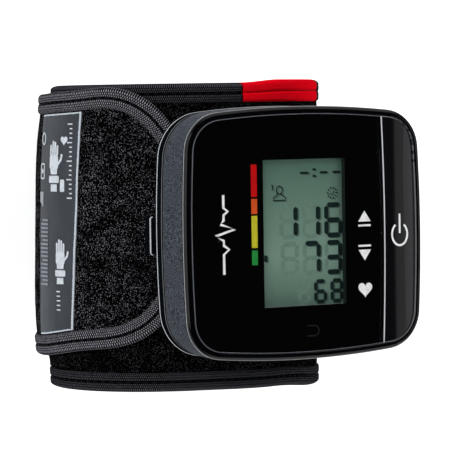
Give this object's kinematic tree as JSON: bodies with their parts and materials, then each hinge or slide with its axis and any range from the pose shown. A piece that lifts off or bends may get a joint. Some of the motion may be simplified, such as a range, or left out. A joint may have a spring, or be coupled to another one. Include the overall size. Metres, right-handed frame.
{
  "type": "wrist blood pressure monitor",
  "caption": "Wrist blood pressure monitor: a flat case with a display and a power key on a closed padded cuff whose labelled flap peels open, with a sliding battery door.",
  "frame": {"origin": "middle of the bottom of the part's box: on the table under the middle of the cuff and case", "axes": "+X to the right of the face, towards the power key; +Y up the face, along the wrist; +Z out of the face"},
  "size_m": [0.0792, 0.0798, 0.0904],
  "materials": {
    "housing": "fine textured wall with a glossy shoulder",
    "rear_plastic": "fine textured",
    "lens": "clear glossy acrylic",
    "mask": "printed black film",
    "key": "high gloss",
    "panel": "grey-green reflective liquid crystal panel",
    "white_plastic": "plain moulded",
    "silicone": "translucent silicone",
    "board": "solder masked glass fibre board",
    "chip": "moulded epoxy",
    "steel": "plated",
    "cell": "plain printed sleeve over a steel can",
    "pile_fabric": "black loop pile",
    "binding": "ribbed black binding tape",
    "marker": "ribbed red binding tape",
    "label": "dark grey satin label with white print",
    "lining": "smooth black knitted lining",
    "bladder": "welded film",
    "hook": "hook tape"
  },
  "bodies": {
    "monitor": {"upper_housing": "housing", "rear_case": "rear_plastic", "display_lens": "lens", "lens_mask": "mask", "power_switch": "chip", "lcd_panel": "panel", "lcd_holder": "white_plastic", "lcd_contact_strip": "silicone", "main_board": "board", "control_chip": "chip", "touch_pad": "silicone", "buzzer": "chip", "pressure_sensor": "chip", "air_manifold": "white_plastic", "pump_motor": "steel", "pump_head": "white_plastic", "release_valve": "steel", "nipple_tube": "silicone", "pump_tube": "silicone", "valve_tube": "silicone", "air_nipple": "white_plastic", "cell_left": "cell", "cell_right": "cell", "coil_contact_left": "steel", "coil_contact_right": "steel", "contact_link": "steel", "contact_minus": "steel", "contact_plus": "steel", "saddle_plate": "rear_plastic", "case_screw_1": "steel", "case_screw_2": "steel", "case_screw_3": "steel", "case_screw_4": "steel", "cuff_cover": "pile_fabric", "cuff_shell": "white_plastic", "air_bladder": "bladder", "cuff_lining": "lining", "binding_bottom": "binding", "binding_top_left": "binding", "binding_marker": "marker", "binding_top_right": "binding", "cuff_strap": "pile_fabric", "strap_binding_bottom": "binding", "strap_binding_top": "binding"},
    "power_key": {"power_key": "key", "switch_stem": "white_plastic"},
    "battery_door": {"battery_door": "rear_plastic"},
    "flap": {"cuff_flap": "pile_fabric", "flap_binding": "binding", "flap_label": "label", "hook_patch": "hook"}
  },
  "joints": [
    {"name": "key_press", "type": "slide", "parent": "monitor", "child": "power_key", "axis": [0, 0, -1], "range_m": [0, 0.0007], "stiffness_N_per_m": 2500, "springref_m": -0.0002},
    {"name": "door_slide", "type": "slide", "parent": "monitor", "child": "battery_door", "axis": [-1, 0, 0], "range_m": [0, 0.026]},
    {"name": "flap_peel", "type": "hinge", "parent": "monitor", "child": "flap", "pos_m": [-0.02629, 0, 0.00778], "axis": [0, -1, 0], "range_deg": [0, 75]}
  ]
}
